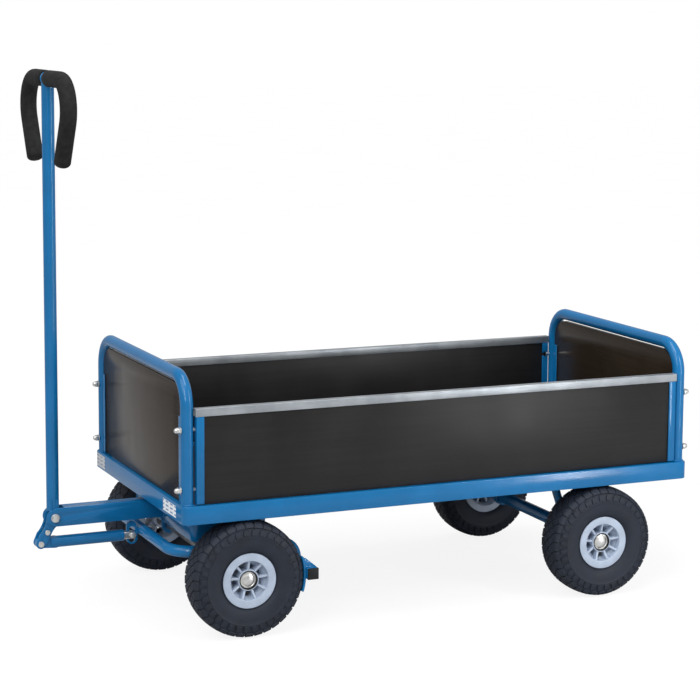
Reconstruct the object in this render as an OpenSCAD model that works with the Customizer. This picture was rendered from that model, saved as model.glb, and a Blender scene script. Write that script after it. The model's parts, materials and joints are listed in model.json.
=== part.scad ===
// Four-wheeled hand cart with turntable steering, four boarded walls and a drawbar
// that puts the parking brake on when it stands upright.
// +X forward, +Y to the cart's left, +Z up. The origin lies on the ground, at the
// middle of the cart's overall length and width. Millimetres.

/* [Platform] */
// Length of the platform frame
bed_l = 1258; // [1250:1:1266]
// Width of the platform frame
bed_w = 655; // [651:1:659]
// Height of the platform frame's side
rim_h = 40; // [38:1:42]
// Width of the platform frame's top face
rim_t = 35; // [34:1:36]
// Ground to the underside of the platform frame
rim_z = 262; // [262:1:264]
// Outer radius of the platform's upright corners
corner_r = 16; // [10:1:18]
// Thickness of the floor board
floor_t = 12; // [10:1:12]

/* [Walls] */
// Ground to the top of the two end hoops
hoop_top = 592; // [570:1:610]
// Outer diameter of the hoop tube
hoop_d = 28; // [26:1:28]
// Bend radius of the hoop tube, on its centre line
hoop_bend = 65; // [60:1:75]
// Ground to the top of the side walls
wall_top = 513; // [500:1:515]
// Thickness of the wall boards
board_t = 12; // [10:1:13]
// Height of the top rail on a side wall
rail_h = 17.5; // [16:0.5:20]
// Width of the top rail and of the side wall's end channels
rail_w = 18; // [18:0.5:20]

/* [Wheels] */
// Outer diameter of the tyres
tyre_d = 258; // [256:1:258]
// Width of the tyres
tyre_w = 85; // [80:1:85]
// Distance between the front and the rear axle
wheelbase = 880; // [870:1:890]
// Distance between the tyre centres of one axle
track = 598; // [596:1:600]
// Platform centre to the front axle
front_reach = 481; // [479:1:482]
// Diameter of the axle rods
axle_d = 20; // [18:1:20]
// Openings between the spokes of a wheel
spokes = 9; // [7:1:10]

/* [Drawbar] */
// Front axle to the drawbar's pivot
pivot_reach = 344; // [340:1:346]
// Ground to the drawbar's pivot
pivot_z = 228; // [227:1:229]
// Outer diameter of the drawbar tube
drawbar_d = 28; // [26:1:28]
// Ground to the centre line of the handle's top tube
handle_z = 1206; // [1100:1:1220]
// Half width of the handle, on its centre line
handle_half = 164; // [150:1:170]
// Outer diameter of the foam grips
grip_d = 37; // [34:1:38]

/* [Parking brake] */
// Outer diameter of the brake bow's tube
bow_d = 26; // [24:1:26]
// Ground to the bow's centre line
bow_z = 178; // [177:1:178]
// Bow's arms, distance from the cart's middle plane
bow_arm_y = 232; // [231:1:233]
// Side of the square cross bar behind the front wheels
cross_s = 25; // [22:1:25]
// Gap between brake shoe and tyre with the brake nearly touching
shoe_gap = 0.6; // [0.5:0.1:1]

/* [Hidden] */

$fn = 64;
run = 0.05;                 // radial running clearance of every pin and axle
weld = 0.05;                // parts welded together stop this far apart
sheet = 3;                  // folded steel sheet of the frame
rim_top = rim_z + rim_h;
floor_top = rim_top - 2;
floor_z = floor_top - floor_t;

// Walls
post_x = bed_l / 2 - hoop_d / 2 - 2;        // posts, from the platform's centre
post_y = bed_w / 2 - hoop_d / 2 - 10.5;
tube_wall = 2;
wall_y = bed_w / 2 - 16.5;                  // middle of the side walls
wall_out = wall_y + rail_w / 2;
channel_end = post_x - hoop_d / 2 - 3;
channel_depth = 17;
web_t = 3;                                  // web of the side wall's end channels
bolt_levels = [335, 466];
bolt_r = 4;
bolt_head_r = 6;
nut_end = post_x + hoop_d / 2 + 15;
strip_w = 16;
strip_top = 493;

// Axles and wheels
axle_r = axle_d / 2;
axle_z = tyre_d / 2;
front_x = front_reach;
rear_x = front_reach - wheelbase;
wheel_y = track / 2;
hub_r = 18;
hub_in = -37;                               // hub ends, from the tyre's centre plane
hub_out = 23;
flange_y = 36.3;
flange_r = 61.5;
open_r = 44;                                // outer radius of the openings between spokes
cap_end = 29.5;
cap_r = 18.5;

// Slewing ring
ring_top = 283;
ring_low = 251;
ball_pitch = 78;
ball_r = 6;
balls = 24;
upper_bolts_r = 102;                        // bolt circles of the two rings
lower_bolts_r = 48;
hex_r = 7.5;                                // corner radius of the M8 hexagons

// Saddle, under the slewing ring
saddle_l = 176;
saddle_w = 424;
saddle_t = 5;
saddle_z = 194;

// Draw beam and drawbar
pivot_x = front_x + pivot_reach;
beam_w = 36;
beam_wall = 3;
beam_end_r = 20;
beam_z = pivot_z - beam_end_r;
beam_h = 42;
plate_in = 9.5;                             // lever plates, inner face from the middle
plate_t = 4;
link_dx = 32;                               // link pin, forward of the pivot and below it
link_dz = -58;
link_x = pivot_x + link_dx;
link_z = pivot_z + link_dz;
lever_end_r = 11;
spacer_share = 0.55;                        // spacer bolt, share of the way down the lever

// Handle
handle_bend = 63;
handle_lean = 28;
handle_tube_d = 25;
handle_leg = 100;
handle_flat = handle_half - handle_bend;

// Brake
clevis_x = front_x + 161;
fork_root = clevis_x + 16;                   // bottom of the fork's slot
link_tube_end = fork_root + 5;
bow_x = front_x + 135;
bow_corner = 60;
cross_x = front_x - tyre_d / 2 - shoe_gap - 5 - cross_s / 2;
cross_z = 131;
drop_r = bow_z - cross_z - cross_s / 2;
arm_front = bow_x - bow_corner;
arm_rear = cross_x + drop_r;
cross_half = track / 2 + 37;

// The overall length runs from the nuts behind the rear hoop to the lever's nose.
bed_x = -(link_x + lever_end_r - nut_end) / 2;

paint = "steelblue";
zinc = "silver";

// ---------- helpers ----------
module on_cart() { translate([bed_x, 0, 0]) children(); }
module both_sides() { children(); mirror([0, 1, 0]) children(); }
module both_ends() { children(); mirror([1, 0, 0]) children(); }
module rod_x(x0, x1, r) { translate([x0, 0, 0]) rotate([0, 90, 0]) cylinder(h = x1 - x0, r = r); }
module rod_y(y0, y1, r) { translate([0, y0, 0]) rotate([-90, 0, 0]) cylinder(h = y1 - y0, r = r); }
module block(a, b) { translate(a) cube(b - a); }

module rounded_rect(l, w, r) {
    square([l - 2 * r, w], center = true);
    square([l, w - 2 * r], center = true);
    for (x = [-1, 1], y = [-1, 1]) translate([x * (l / 2 - r), y * (w / 2 - r)]) circle(r);
}

// A plate in the XZ plane that runs from y0 to y1
module side_plate(y0, y1) {
    translate([0, y1, 0]) rotate([90, 0, 0]) linear_extrude(y1 - y0) children();
}

// A bar with round ends, from point a to point b
module capsule(a, b, ra, rb) {
    d = norm(b - a);
    turn = atan2(b[1] - a[1], b[0] - a[0]);
    lean = asin((ra - rb) / d);
    translate(a) circle(ra);
    translate(b) circle(rb);
    translate(a) rotate(turn) polygon([
        [ra * sin(lean), ra * cos(lean)], [d + rb * sin(lean), rb * cos(lean)],
        [d + rb * sin(lean), -rb * cos(lean)], [ra * sin(lean), -ra * cos(lean)]]);
}

// ---------- platform ----------
module rim_shell() {
    translate([0, 0, rim_z]) difference() {
        linear_extrude(rim_h) difference() {
            rounded_rect(bed_l, bed_w, corner_r);
            square([bed_l - 2 * rim_t, bed_w - 2 * rim_t], center = true);
        }
        translate([0, 0, -1]) linear_extrude(rim_h - sheet + 1) difference() {
            rounded_rect(bed_l - 2 * sheet, bed_w - 2 * sheet, corner_r - sheet);
            square([bed_l - 2 * rim_t + 2 * sheet, bed_w - 2 * rim_t + 2 * sheet], center = true);
        }
    }
}

module rim_side() {
    color(paint) on_cart() intersection() {
        rim_shell();
        block([-bed_l / 2 + rim_t + weld, 0, 0], [bed_l / 2 - rim_t - weld, bed_w, rim_top + 1]);
    }
}

module rim_end() {
    intersection() {
        rim_shell();
        block([bed_l / 2 - rim_t, -bed_w, 0], [bed_l, bed_w, rim_top + 1]);
    }
}

module rim_left() { rim_side(); }
module rim_right() { mirror([0, 1, 0]) rim_side(); }
module rim_front() { color(paint) on_cart() rim_end(); }
module rim_rear() { color(paint) on_cart() mirror([1, 0, 0]) rim_end(); }

// Four square tubes across the frame, and the plate that carries the slewing ring
module cross_members() {
    member_h = floor_z - rim_z - 4;
    half = bed_w / 2 - rim_t - weld;
    plate_x0 = front_x - 116;
    color(paint) on_cart() {
        for (x = [rear_x - 70, rear_x + 40, 0, plate_x0 - 30]) difference() {
            block([x, -half, rim_z + 4], [x + 30, half, floor_z]);
            block([x + 2, -half - 1, rim_z + 6], [x + 28, half + 1, floor_z - 2]);
        }
        difference() {
            block([plate_x0 + weld, -170, ring_top], [bed_l / 2 - rim_t - weld, 170, floor_z]);
            translate([front_x, 0, ring_top - 1])
                at_bolts(upper_bolts_r) cylinder(h = 20, r = bolt_r + run);
        }
    }
}

module floor_panel() {
    color("sienna") on_cart()
        block([-bed_l / 2 + rim_t + 1, -bed_w / 2 + rim_t + 1, floor_z + weld],
              [bed_l / 2 - rim_t - 1, bed_w / 2 - rim_t - 1, floor_top]);
}

// ---------- end hoops and boards ----------
module hoop_solid(r) {
    bend_z = hoop_top - hoop_d / 2 - hoop_bend;
    both_sides() {
        translate([0, post_y, rim_top + weld]) cylinder(h = bend_z - rim_top - weld, r = r);
        translate([0, post_y - hoop_bend, bend_z]) rotate([90, 0, 90])
            rotate_extrude(angle = 90) translate([hoop_bend, 0]) circle(r);
        translate([0, 0, bend_z + hoop_bend]) rod_y(0, post_y - hoop_bend, r);
    }
}

module hoop() {
    color(paint) on_cart() translate([post_x, 0, 0]) difference() {
        hoop_solid(hoop_d / 2);
        hoop_solid(hoop_d / 2 - tube_wall);
        for (z = bolt_levels, s = [-1, 1]) translate([0, s * post_y, z]) rod_x(-20, 20, bolt_r + run);
        block([-20, -post_y - 20, rim_top - 5], [20, post_y + 20, rim_top + 2 * weld]);
    }
}

module front_hoop() { hoop(); }
module rear_hoop() { translate([2 * bed_x, 0, 0]) mirror([1, 0, 0]) hoop(); }

// The board fills the hoop and follows its bends, with a gap of a few millimetres at the top
module end_board() {
    half = post_y - hoop_d / 2 - 0.5;
    top = hoop_top - hoop_d - 3.5;
    r = hoop_bend - hoop_d / 2 - 0.5;
    translate([post_x - board_t / 2, 0, 0]) rotate([90, 0, 90]) linear_extrude(board_t) {
        translate([-half, rim_top + 2]) square([2 * half, top - r - rim_top - 2]);
        translate([-half + r, top - r]) square([2 * (half - r), r]);
        for (s = [-1, 1]) translate([s * (half - r), top - r]) circle(r);
    }
}

module front_panel() { color("dimgray") on_cart() end_board(); }
module rear_panel() { color("dimgray") on_cart() mirror([1, 0, 0]) end_board(); }

// Flat strips on both faces of each end board, beside the posts
module panel_strips() {
    strip_y = post_y - hoop_d / 2 - strip_w;
    color(paint) on_cart() both_ends() both_sides()
        for (x = [post_x - board_t / 2 - 2.5, post_x + board_t / 2 + 0.5])
            block([x, strip_y, rim_top + weld], [x + 2, strip_y + strip_w, strip_top]);
}

// ---------- side walls ----------
module wall_board() {
    half = channel_end - 11;
    color("dimgray") on_cart()
        block([-half, wall_y - board_t / 2, rim_top + 2], [half, wall_y + board_t / 2, wall_top - 3]);
}

module top_rail() {
    half = channel_end + 2.5;
    color(zinc) on_cart() difference() {
        block([-half, wall_y - rail_w / 2, wall_top - rail_h], [half, wall_out, wall_top]);
        block([-half - 1, wall_y - rail_w / 2 + 2, wall_top - rail_h - 1],
              [half + 1, wall_out - 2, wall_top - 2]);
    }
}

module left_wall() { wall_board(); }
module right_wall() { mirror([0, 1, 0]) wall_board(); }
module left_top_rail() { top_rail(); }
module right_top_rail() { mirror([0, 1, 0]) top_rail(); }

// A channel closes each end of a side wall, and its web is bolted to the post
module wall_end_channels() {
    z0 = rim_top + 3;
    z1 = wall_top - rail_h - 0.3;
    start = channel_end - channel_depth;
    inner = wall_y - rail_w / 2;
    color(paint) on_cart() both_ends() both_sides() difference() {
        block([start, inner, z0], [channel_end, wall_out, z1]);
        block([start - 1, inner + 2, z0 - 1], [channel_end - web_t, wall_out - 2, z1 + 1]);
        for (z = bolt_levels) translate([0, post_y, z]) {
            rod_x(start, channel_end + 1, bolt_r + run);
            rod_x(start + 5, channel_end - web_t, bolt_head_r + 0.5);
        }
    }
}

module wall_bolts() {
    head_end = channel_end - web_t - weld;
    color(zinc) on_cart() both_ends() both_sides() for (z = bolt_levels) translate([0, post_y, z]) {
        rod_x(head_end - 5, head_end, bolt_head_r);
        rod_x(head_end - 3, nut_end - 4, bolt_r);
    }
}

// Washer, hexagon and dome of a cap nut
module wall_nuts() {
    start = post_x + hoop_d / 2 + weld;
    dome_r = 6;
    nut_l = nut_end - start;
    color(zinc) on_cart() both_ends() both_sides() for (z = bolt_levels)
        translate([start, post_y, z]) rotate([0, 90, 0]) difference() {
            union() {
                cylinder(h = 1.6, r = 8);
                translate([0, 0, 1.6]) cylinder(h = 6.5, r = 7.5, $fn = 6);
                translate([0, 0, 8.1]) rotate_extrude() {
                    square([dome_r, nut_l - dome_r - 8.1]);
                    intersection() {
                        translate([0, nut_l - dome_r - 8.1]) circle(dome_r);
                        square([dome_r, nut_l]);
                    }
                }
            }
            translate([0, 0, -1]) cylinder(h = nut_l - 2.5, r = bolt_r + run);
        }
}

// ---------- rear axle ----------
module rear_axle_tube() {
    color(paint) on_cart() translate([rear_x, 0, axle_z]) difference() {
        rod_y(-240, 240, 15);
        rod_y(-241, 241, axle_r + weld);
    }
}

module axle_rod() { rod_y(-wheel_y - hub_out - 4, wheel_y + hub_out + 4, axle_r); }
module rear_axle_rod() { color(zinc) on_cart() translate([rear_x, 0, axle_z]) axle_rod(); }
module front_axle_rod() { color(zinc) on_cart() translate([front_x, 0, axle_z]) axle_rod(); }

// Two V-shaped legs carry the rear axle
module rear_struts() {
    top = rim_z + 4 - weld;
    color(paint) on_cart() both_sides() difference() {
        union() {
            side_plate(165, 195) difference() {
                for (s = [-1, 1]) polygon([
                    [rear_x + s * 4, axle_z], [rear_x + s * 14, axle_z],
                    [rear_x + s * 61, top], [rear_x + s * 51, top]]);
                translate([rear_x, axle_z - 30]) square([60, 60], center = true);
            }
            translate([rear_x, 0, axle_z]) rod_y(165, 195, 21);
        }
        translate([rear_x, 0, axle_z]) rod_y(160, 200, 15 + weld);
    }
}

// Pressed domes that hold the wheels on the axle rods
module hub_caps() {
    rim_step = 2.5;
    cap_h = cap_end - hub_out - 0.6;
    dome_r = 30;
    both_sides() translate([0, wheel_y + hub_out + 0.6, 0]) rotate([-90, 0, 0]) difference() {
        rotate_extrude() {
            square([cap_r, rim_step]);
            intersection() {
                square([cap_r - 1.5, cap_h]);
                translate([0, cap_h - dome_r]) circle(dome_r, $fn = 128);
            }
        }
        translate([0, 0, -1]) cylinder(h = 4.7, r = axle_r + weld);
    }
}

module rear_hub_caps() { color(zinc) on_cart() translate([rear_x, 0, axle_z]) hub_caps(); }
module front_hub_caps() { color(zinc) on_cart() translate([front_x, 0, axle_z]) hub_caps(); }

// ---------- slewing ring ----------
// Places children at the four bolts of a bolt circle round the ring's axis
module at_bolts(r) {
    for (a = [45 : 90 : 315]) rotate(a) translate([r, 0, 0]) children();
}

module ring_section(points) {
    rotate_extrude() difference() {
        polygon(points);
        translate([ball_pitch, (ring_top + ring_low) / 2]) circle(ball_r + 0.4);
    }
}

module upper_slewing_ring() {
    plate = ring_top - 5;
    color("gray") on_cart() translate([front_x, 0, 0]) difference() {
        ring_section([
            [66, ring_top - weld], [112, ring_top - weld], [112, plate], [92, plate],
            [92, ring_low + 7], [80, ring_low + 7], [80, plate], [66, plate]]);
        at_bolts(upper_bolts_r) cylinder(h = 400, r = bolt_r + run);
    }
}

module lower_slewing_ring() {
    plate = ring_low + 5;
    color("gray") on_cart() translate([front_x, 0, 0]) difference() {
        ring_section([
            [36, ring_low], [92, ring_low], [92, plate], [76, plate],
            [76, ring_top - 7], [62, ring_top - 7], [62, plate], [36, plate]]);
        at_bolts(lower_bolts_r) cylinder(h = 400, r = bolt_r + run);
    }
}

module slewing_balls() {
    color(zinc) on_cart() translate([front_x, 0, (ring_top + ring_low) / 2])
        for (i = [0 : balls - 1]) rotate(i * 360 / balls)
            translate([ball_pitch, 0, 0]) sphere(ball_r, $fn = 32);
}

module upper_ring_bolts() {
    color(zinc) on_cart() translate([front_x, 0, 0]) at_bolts(upper_bolts_r) {
        translate([0, 0, ring_top - 10 - 2 * weld]) cylinder(h = 5, r = hex_r, $fn = 6);
        translate([0, 0, ring_top - 6]) cylinder(h = floor_z - ring_top + 5.5, r = bolt_r);
    }
}

module lower_ring_bolts() {
    nut_h = 6.5;
    color(zinc) on_cart() translate([front_x, 0, 0]) at_bolts(lower_bolts_r) {
        translate([0, 0, ring_low + 5 + weld]) cylinder(h = 5, r = hex_r, $fn = 6);
        translate([0, 0, ring_low - 14]) cylinder(h = 20, r = bolt_r);
        translate([0, 0, ring_low - saddle_t - nut_h - 2 * weld]) cylinder(h = nut_h, r = hex_r, $fn = 6);
    }
}

// ---------- turntable ----------
// A folded tray under the ring, with a flat leg on each side down to the axle
module turntable_saddle() {
    leg = 20;
    notch = 8;
    color(paint) on_cart() translate([front_x, 0, 0]) difference() {
        union() {
            difference() {
                translate([0, 0, saddle_z]) linear_extrude(ring_low - saddle_z - weld)
                    rounded_rect(saddle_l, saddle_w, 16);
                translate([0, 0, saddle_z - 1]) linear_extrude(ring_low - saddle_z - saddle_t + 1)
                    rounded_rect(saddle_l - 2 * saddle_t, saddle_w - 2 * saddle_t, 11);
            }
            both_sides() side_plate(saddle_w / 2 - saddle_t, saddle_w / 2)
                capsule([0, axle_z], [0, saddle_z + 20], leg, leg);
        }
        translate([0, 0, axle_z]) rod_y(-saddle_w, saddle_w, axle_r + weld);
        block([saddle_l / 2 - 10, -notch, saddle_z - 1], [saddle_l / 2 + 1, notch, saddle_z + 12]);
        translate([0, 0, ring_low - 10]) at_bolts(lower_bolts_r) cylinder(h = 20, r = bolt_r + run);
    }
}

// Box section; its end is a fork whose rounded cheeks hold the pivot bolt
module draw_beam() {
    x0 = front_x + saddle_l / 2 + weld;
    half = beam_w / 2;
    inner = half - beam_wall;
    color(paint) on_cart() difference() {
        union() {
            block([x0, -half, beam_z], [pivot_x, half, beam_z + beam_h]);
            translate([pivot_x, 0, pivot_z]) rod_y(-half, half, beam_end_r);
        }
        block([x0 - 1, -inner, beam_z + beam_wall], [pivot_x + 30, inner, beam_z + beam_h - beam_wall]);
        block([pivot_x - 22, -inner, pivot_z], [pivot_x + 30, inner, beam_z + beam_h + 1]);
        block([pivot_x - 46, -inner, beam_z - 1], [pivot_x + 30, inner, pivot_z]);
        block([pivot_x, -half - 1, pivot_z + beam_end_r], [pivot_x + 30, half + 1, pivot_z + 40]);
        translate([pivot_x, 0, pivot_z]) rod_y(-half - 1, half + 1, 6 + weld);
    }
}

module pivot_bolt() {
    half = beam_w / 2 + weld;
    shank_r = 6;
    washer_r = 9.8;
    washer_t = 1.8;
    color(zinc) on_cart() translate([pivot_x, 0, pivot_z]) {
        rod_y(-half - 12, half + 3, shank_r);
        rod_y(half, half + washer_t, washer_r);
        translate([0, half + washer_t, 0]) rotate([-90, 0, 0]) cylinder(h = 6.5, r = 8.6, $fn = 6);
        mirror([0, 1, 0]) difference() {
            union() {
                rod_y(half, half + washer_t, washer_r);
                translate([0, half + washer_t, 0]) rotate([-90, 0, 0]) cylinder(h = 8, r = 8.6, $fn = 6);
            }
            rod_y(half - 1, half + 20, shank_r + weld);
        }
    }
}

// Eyes on the saddle that the bow's arms slide through
module bow_guides() {
    color(paint) on_cart() both_sides() translate([front_x - 54, 0, 0]) difference() {
        union() {
            rod_at_arm(10, 18);
            block([-5, saddle_w / 2 + weld, bow_z], [5, bow_arm_y + 12, saddle_z + 24]);
        }
        rod_at_arm(12, bow_d / 2 + 0.5);
        block([-6, saddle_w / 2 - 30, 100], [6, saddle_w / 2 + weld, 300]);
    }
}

module rod_at_arm(l, r) { translate([0, bow_arm_y, bow_z]) rod_x(-l / 2, l / 2, r); }

// ---------- drawbar ----------
module drawbar_tube() {
    r = drawbar_d / 2;
    color(paint) on_cart() translate([pivot_x + 1, 0, 0]) difference() {
        translate([0, 0, pivot_z + 15]) cylinder(h = handle_z - pivot_z - 15, r = r);
        translate([0, 0, pivot_z + 14]) cylinder(h = handle_z - pivot_z, r = r - tube_wall);
        translate([0, 0, handle_z]) rod_y(-40, 40, handle_tube_d / 2 + weld);
        for (s = [-1, 1]) translate([-20, s * (plate_in + plate_t / 2) - plate_t / 2 - weld, pivot_z])
            cube([40, plate_t + 2 * weld, 42]);
    }
}

// Two plates welded into slots in the tube's foot; they carry the pivot and work the brake
module lever_plates() {
    head = 17;
    foot_half = 11;
    color(paint) on_cart() difference() {
        both_sides() side_plate(plate_in, plate_in + plate_t) difference() {
            union() {
                waisted() capsule([pivot_x, pivot_z], [link_x, link_z], head, lever_end_r);
                translate([pivot_x + 1 - foot_half, pivot_z]) square([2 * foot_half, 42 - weld]);
            }
        }
        translate([pivot_x, 0, pivot_z]) rod_y(-20, 20, 6 + run);
        translate([link_x, 0, link_z]) rod_y(-20, 20, 5 + weld);
        at_spacer() rod_y(-20, 20, 4 + weld);
    }
}

// Takes a shallow curve out of both long edges of a lever plate
module waisted() {
    curve_r = 60;
    waist = 10.5;
    difference() {
        children();
        translate([pivot_x + link_dx / 2, pivot_z + link_dz / 2]) rotate(atan2(link_dz, link_dx))
            for (s = [-1, 1]) translate([0, s * (waist + curve_r)]) circle(curve_r, $fn = 192);
    }
}

module at_spacer() {
    translate([pivot_x + link_dx * spacer_share, 0, pivot_z + link_dz * spacer_share]) children();
}

// Spacer bolt near the middle of the lever, and the pin that carries the link
module lever_bolts() {
    out = plate_in + plate_t + weld;
    color(zinc) on_cart() {
        at_spacer() both_sides() {
            rod_y(0, out + 1, 4);
            rod_y(out, out + 4.5, 6);
            rod_y(0, plate_in - weld, 6.5);
        }
        translate([link_x, 0, link_z]) both_sides() {
            rod_y(0, out + 1, 5);
            rod_y(out, out + 3, 6.8);
        }
    }
}

// Places a child on the handle's left leg: it hangs down local -Y from the end of the bend
module on_handle_leg() {
    translate([pivot_x + 1, handle_flat, handle_z - handle_bend]) rotate([90, 0, 90])
        rotate([0, 0, -handle_lean]) translate([handle_bend, 0, 0]) children();
}

// A hair of radius that keeps straight tube off the bend's own surface, and how far it laps in
slip = 0.1;
lap = 0.5;

// Left half of the handle: flat top from y0, then one bend
module handle_bend_path(r, y0) {
    translate([pivot_x + 1, 0, handle_z]) rod_y(y0, handle_flat + lap, r - slip);
    translate([pivot_x + 1, handle_flat, handle_z - handle_bend]) rotate([90, 0, 90])
        rotate([0, 0, -handle_lean]) rotate_extrude(angle = 90 + handle_lean)
            translate([handle_bend, 0]) circle(r);
}

// The same with a straight leg of length leg below the bend
module handle_path(r, y0, leg) {
    handle_bend_path(r, y0);
    on_handle_leg() translate([0, lap, 0]) rotate([90, 0, 0]) cylinder(h = leg + lap, r = r - slip);
}

module handle_bow() {
    color(paint) on_cart() difference() {
        both_sides() handle_path(handle_tube_d / 2, 0, handle_leg - 6);
        both_sides() handle_path(handle_tube_d / 2 - tube_wall, 0, handle_leg - 5);
    }
}

// Foam sleeve with a closed, rounded end
module grip() {
    grip_start = drawbar_d / 2 + 0.5;
    bore = handle_tube_d / 2 + weld;
    r = grip_d / 2 - slip;
    end_r = 8;
    sleeve = handle_leg + lap + 2;
    color("#272727") on_cart() difference() {
        union() {
            handle_bend_path(grip_d / 2, grip_start);
            on_handle_leg() translate([0, lap, 0]) rotate([90, 0, 0]) rotate_extrude() {
                square([r, sleeve - end_r]);
                square([r - end_r, sleeve]);
                translate([r - end_r, sleeve - end_r]) intersection() {
                    circle(end_r);
                    square(end_r);
                }
            }
        }
        handle_path(bore, 10, handle_leg - 6 + weld);
    }
}

module left_grip() { grip(); }
module right_grip() { mirror([0, 1, 0]) grip(); }

// ---------- brake link ----------
// A tube with a flat nose that takes the lever's pin between the lever plates
module link_tube() {
    start = link_x - 24;
    nose_y = plate_in - 1;
    nose_r = bow_d / 2 - 0.5;
    color(paint) on_cart() difference() {
        union() {
            difference() {
                translate([0, 0, link_z]) rod_x(link_tube_end, start, bow_d / 2);
                translate([0, 0, link_z]) rod_x(link_tube_end - 1, start - 3, bow_d / 2 - tube_wall);
            }
            side_plate(-nose_y, nose_y)
                capsule([start - 10, link_z], [link_x, link_z], nose_r, lever_end_r - 1);
        }
        translate([link_x, 0, link_z]) rod_y(-20, 20, 5 + run);
    }
}

// A fork at the link's rear end: its two cheeks stand beside the bow's eye plate
module link_clevis() {
    cheek_r = 8;
    cheek_y = 9;
    gap_y = 4.5;
    spigot_r = bow_d / 2 - tube_wall - weld;
    color(zinc) on_cart() difference() {
        union() {
            side_plate(-cheek_y, cheek_y) translate([clevis_x, link_z]) {
                circle(cheek_r);
                translate([0, -cheek_r]) square([link_tube_end - weld - clevis_x, 2 * cheek_r]);
            }
            translate([0, 0, link_z]) rod_x(link_tube_end - 2, link_tube_end + 30, spigot_r);
        }
        block([clevis_x - 30, -gap_y, 0], [fork_root, gap_y, 400]);
        translate([clevis_x, 0, link_z]) rod_y(-20, 20, 4 + weld);
    }
}

module clevis_pin() {
    color(zinc) on_cart() translate([clevis_x, 0, link_z]) {
        rod_y(-13, 11, 4);
        rod_y(9 + weld, 13, 7);
        rod_y(-12, -9 - weld, 6);
    }
}

// ---------- brake bow ----------
module bow_solid(r) {
    both_sides() {
        translate([bow_x, 0, bow_z]) rod_y(0, bow_arm_y - bow_corner, r);
        translate([bow_x - bow_corner, bow_arm_y - bow_corner, bow_z])
            rotate_extrude(angle = 90) translate([bow_corner, 0]) circle(r);
        translate([0, bow_arm_y, bow_z]) rod_x(arm_rear, arm_front, r);
        translate([arm_rear, bow_arm_y, bow_z - drop_r]) rotate([90, 0, 0]) rotate([0, 0, 90])
            rotate_extrude(angle = 90) translate([drop_r, 0]) circle(r);
    }
}

// U-shaped bow; its eye plate has a slot that the clevis pin rides in
module brake_bow() {
    slot_half = 12;
    color(paint) on_cart() difference() {
        union() {
            difference() {
                bow_solid(bow_d / 2);
                bow_solid(bow_d / 2 - tube_wall);
                block([cross_x - 40, -300, 0], [cross_x + 40, 300, cross_z + cross_s / 2 + weld]);
            }
            side_plate(-3, 3) {
                capsule([clevis_x, link_z - 9], [clevis_x + 1, bow_z + 11], 13, 12);
                translate([bow_x + bow_d / 2 - 4, bow_z - 7]) square([10, 14]);
            }
        }
        translate([clevis_x, 0, link_z]) side_plate_slot(slot_half, 7);
        translate([bow_x, 0, bow_z]) rod_y(-10, 10, bow_d / 2 - tube_wall);
    }
}

module side_plate_slot(half, r) {
    rotate([90, 0, 0]) translate([0, 0, -10]) linear_extrude(20) {
        square([2 * r, 2 * half], center = true);
        for (s = [-1, 1]) translate([0, s * half]) circle(r);
    }
}

module cross_bar() {
    h = cross_s / 2;
    color(paint) on_cart() translate([cross_x, 0, cross_z]) difference() {
        block([-h, -cross_half, -h], [h, cross_half, h]);
        block([-h + 2, -cross_half - 1, -h + 2], [h - 2, cross_half + 1, h - 2]);
    }
}

module cross_bar_caps() {
    h = cross_s / 2;
    color("#202020") on_cart() translate([cross_x, 0, cross_z]) both_sides() {
        block([-h, cross_half + weld, -h], [h, cross_half + 5, h]);
        block([-h + 2.2, cross_half - 12, -h + 2.2], [h - 2.2, cross_half + 1, h - 2.2]);
    }
}

// Curved plates behind the tyres, each with two gussets on the cross bar
module brake_shoes() {
    r = tyre_d / 2 + shoe_gap;
    shoe_t = 5;
    sweep = 17;
    shoe_w = 60;
    bar_x = cross_x - cross_s / 2;
    bar_z = cross_z + cross_s / 2 + weld;
    gusset_h = 21;
    color(paint) on_cart() both_sides() {
        translate([front_x, wheel_y + shoe_w / 2 + 1, axle_z]) rotate([90, 0, 0])
            rotate([0, 0, 180 - sweep]) linear_extrude(shoe_w) intersection() {
                difference() {
                    circle(r + shoe_t - weld, $fn = 128);
                    circle(r, $fn = 128);
                }
                polygon([[0, 0], [240 * cos(2 * sweep), 240 * sin(2 * sweep)], [300, 0]]);
            }
        for (y = [wheel_y - 24, wheel_y + 24]) side_plate(y, y + 5) difference() {
            polygon([[bar_x, bar_z], [cross_x + 20, bar_z],
                     [cross_x + 20, bar_z + gusset_h], [cross_x + 13, bar_z + gusset_h]]);
            translate([front_x, axle_z]) circle(r + 2, $fn = 128);
        }
    }
}

// ---------- wheels ----------
module at_wheel(x, side) {
    on_cart() translate([x, 0, axle_z]) scale([1, side, 1]) translate([0, wheel_y, 0]) children();
}

// Turned about the axle: polygon points are [radius, distance outboard]
module turned(points) { rotate([-90, 0, 0]) rotate_extrude($fn = 96) polygon(points); }

module tyre() {
    crown = tyre_d / 2;
    half = tyre_w / 2;
    color("#30343c") turned([
        [54.5, -32.5], [63, -33], [66, -37], [74, -40.5], [88, -half], [100, -41.8], [112, -39.5],
        [crown - 7, -36.5], [crown - 3.5, -29], [crown - 1.2, -18], [crown, 0],
        [crown - 1.2, 18], [crown - 3.5, 29], [crown - 7, 36.5], [112, 39.5], [100, 41.8],
        [88, half], [74, 40.5], [66, 37], [63, 33], [54.5, 32.5],
        [54.5, 24], [72, 30], [88, 33.5], [102, 33], [crown - 14, 26], [crown - 11, 0],
        [crown - 14, -26], [102, -33], [88, -33.5], [72, -30], [54.5, -24]]);
}

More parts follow.
